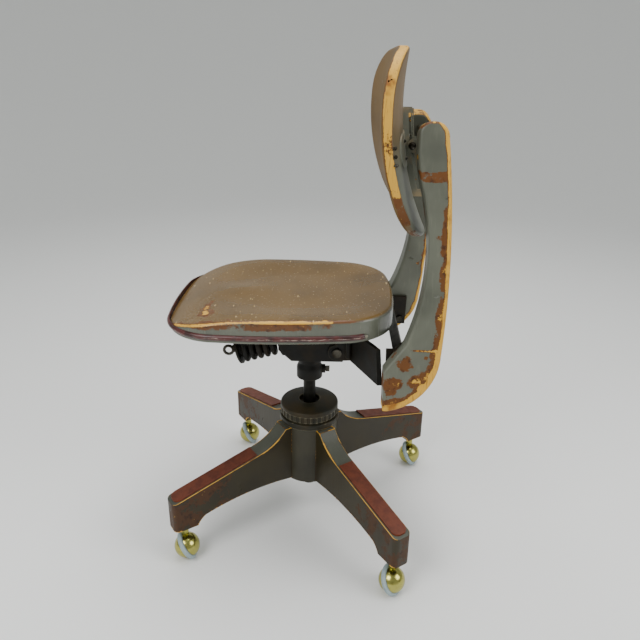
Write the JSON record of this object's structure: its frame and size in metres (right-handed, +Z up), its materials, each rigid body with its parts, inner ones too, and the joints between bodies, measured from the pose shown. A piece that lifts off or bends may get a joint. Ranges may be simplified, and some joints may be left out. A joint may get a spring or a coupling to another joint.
{
  "type": "swivel chair",
  "caption": "Wooden swivel chair without arms: shaped seat, pivoting backrest on two leaning uprights, screw lift with handwheel, sprung back tilt and ball casters.",
  "frame": {"origin": "on the floor, on the axis of the spindle that carries the seat", "axes": "+Z up, -Y to the front of the chair, +X to the sitter's left"},
  "size_m": [0.5397, 0.5338, 0.944],
  "materials": {
    "painted_wood": "worn grey-green paint over wood",
    "leg_pad_fibre": "worn red-brown fibre",
    "black_iron": "black paint, dull",
    "dark_steel": "dark, oily",
    "painted_iron": "grey-green paint",
    "grey_steel": "grey, satin",
    "seat_wood": "worn brown finish",
    "maroon_rubber": "satin",
    "caster_steel": "satin",
    "caster_brass": "polished plate",
    "grey_tyre": "matte grey rubber"
  },
  "bodies": {
    "base": {"column": "painted_wood", "leg_front_left": "painted_wood", "leg_rear_left": "painted_wood", "leg_rear_right": "painted_wood", "leg_front_right": "painted_wood", "leg_pad_front_left": "leg_pad_fibre", "leg_pad_rear_left": "leg_pad_fibre", "leg_pad_rear_right": "leg_pad_fibre", "leg_pad_front_right": "leg_pad_fibre", "leg_bolts": "dark_steel", "hub_socket": "black_iron", "caster_sockets": "dark_steel"},
    "caster_front_left": {"caster_stem_front_left": "caster_steel", "caster_hood_front_left": "caster_brass"},
    "wheel_front_left": {"caster_wheel_front_left": "caster_brass", "caster_tyre_front_left": "grey_tyre"},
    "caster_rear_left": {"caster_stem_rear_left": "caster_steel", "caster_hood_rear_left": "caster_brass"},
    "wheel_rear_left": {"caster_wheel_rear_left": "caster_brass", "caster_tyre_rear_left": "grey_tyre"},
    "caster_rear_right": {"caster_stem_rear_right": "caster_steel", "caster_hood_rear_right": "caster_brass"},
    "wheel_rear_right": {"caster_wheel_rear_right": "caster_brass", "caster_tyre_rear_right": "grey_tyre"},
    "caster_front_right": {"caster_stem_front_right": "caster_steel", "caster_hood_front_right": "caster_brass"},
    "wheel_front_right": {"caster_wheel_front_right": "caster_brass", "caster_tyre_front_right": "grey_tyre"},
    "turntable": {"swivel_sleeve": "dark_steel"},
    "handwheel": {"handwheel": "painted_iron"},
    "seat_frame": {"spindle": "dark_steel", "spindle_stop": "dark_steel", "seat_iron": "black_iron", "set_screw": "dark_steel", "seat_screws": "dark_steel", "seat": "seat_wood", "bumper_strip": "maroon_rubber", "strip_nails": "dark_steel", "pivot_pin": "dark_steel", "tension_spring": "dark_steel"},
    "back": {"back_carrier": "black_iron", "frame_bolts": "dark_steel", "upright_left": "painted_wood", "upright_right": "painted_wood", "crosspiece": "painted_wood", "cross_strap": "dark_steel", "backrest_bracket": "grey_steel", "bracket_bolts": "dark_steel", "pivot_bolt": "dark_steel", "wing_nut": "dark_steel"},
    "pull_rod": {"rod_clevis": "dark_steel", "clevis_pin": "dark_steel"},
    "tension_screw": {"eye_screw": "dark_steel"},
    "spring_cap": {"spring_cap": "dark_steel"},
    "pivot_spacer": {"pivot_spacer": "dark_steel"},
    "backrest": {"backrest": "seat_wood", "backrest_rail": "grey_steel", "backrest_screws": "dark_steel"}
  },
  "joints": [
    {"name": "caster_swivel_front_left", "type": "hinge", "parent": "base", "child": "caster_front_left", "pos_m": [0.16482, -0.23982, 0.07], "axis": [0, 0, 1], "continuous": true},
    {"name": "wheel_spin_front_left", "type": "hinge", "parent": "caster_front_left", "child": "wheel_front_left", "pos_m": [0.16935, -0.2369, 0.0266], "axis": [0.1652, -0.8501, -0.5], "continuous": true},
    {"name": "caster_swivel_rear_left", "type": "hinge", "parent": "base", "child": "caster_rear_left", "pos_m": [0.23982, 0.16482, 0.07], "axis": [0, 0, 1], "continuous": true},
    {"name": "wheel_spin_rear_left", "type": "hinge", "parent": "caster_rear_left", "child": "wheel_rear_left", "pos_m": [0.24516, 0.16415, 0.0266], "axis": [-0.4199, -0.7574, -0.5], "continuous": true},
    {"name": "caster_swivel_rear_right", "type": "hinge", "parent": "base", "child": "caster_rear_right", "pos_m": [-0.16482, 0.23982, 0.07], "axis": [0, 0, 1], "continuous": true},
    {"name": "wheel_spin_rear_right", "type": "hinge", "parent": "caster_rear_right", "child": "wheel_rear_right", "pos_m": [-0.15949, 0.24055, 0.0266], "axis": [-0.2095, -0.8403, -0.5], "continuous": true},
    {"name": "caster_swivel_front_right", "type": "hinge", "parent": "base", "child": "caster_front_right", "pos_m": [-0.23982, -0.16482, 0.07], "axis": [0, 0, 1], "continuous": true},
    {"name": "wheel_spin_front_right", "type": "hinge", "parent": "caster_front_right", "child": "wheel_front_right", "pos_m": [-0.23506, -0.16231, 0.0266], "axis": [0.0905, -0.8613, -0.5], "continuous": true},
    {"name": "swivel", "type": "hinge", "parent": "base", "child": "turntable", "pos_m": [0, 0, 0.23], "axis": [0, 0, 1], "continuous": true},
    {"name": "height_wheel", "type": "hinge", "parent": "turntable", "child": "handwheel", "pos_m": [0, 0, 0.25], "axis": [0, 0, 1], "range_deg": [-3180, 3180]},
    {"name": "seat_lift", "type": "slide", "parent": "turntable", "child": "seat_frame", "axis": [0, 0, 1], "range_m": [-0.045, 0.045]},
    {"name": "back_tilt", "type": "hinge", "parent": "seat_frame", "child": "back", "pos_m": [0, 0.054, 0.397], "axis": [-1, 0, 0], "range_deg": [0, 15], "stiffness_Nm_per_rad": 312, "springref_deg": -4.3},
    {"name": "pull_rod_slide", "type": "slide", "parent": "seat_frame", "child": "pull_rod", "axis": [0, 0.9632, 0.2689], "range_m": [0, 0.0106], "deforming": ["tension_spring"]},
    {"name": "tension_turn", "type": "hinge", "parent": "pull_rod", "child": "tension_screw", "pos_m": [0, -0.14939, 0.38174], "axis": [0, 0.9632, 0.2689], "range_deg": [-540, 900]},
    {"name": "spring_cap_slide", "type": "slide", "parent": "pull_rod", "child": "spring_cap", "axis": [0, 0.9632, 0.2689], "range_m": [-0.00301, 0.00501], "deforming": ["tension_spring"]},
    {"name": "backrest_tilt", "type": "hinge", "parent": "back", "child": "pivot_spacer", "pos_m": [0, 0.176, 0.785], "axis": [-1, 0, 0], "range_deg": [-1, 8]},
    {"name": "backrest_height", "type": "hinge", "parent": "pivot_spacer", "child": "backrest", "pos_m": [0, 0.65551, 0.86391], "axis": [-1, 0, 0], "range_deg": [-1, 6.8]}
  ],
  "couplings": [
    {"joint": "seat_lift", "follows": "height_wheel", "m_per_rad": 0.000809},
    {"joint": "pull_rod_slide", "follows": "back_tilt", "m_per_rad": 0.04},
    {"joint": "spring_cap_slide", "follows": "tension_turn", "m_per_rad": 0.00031831}
  ]
}
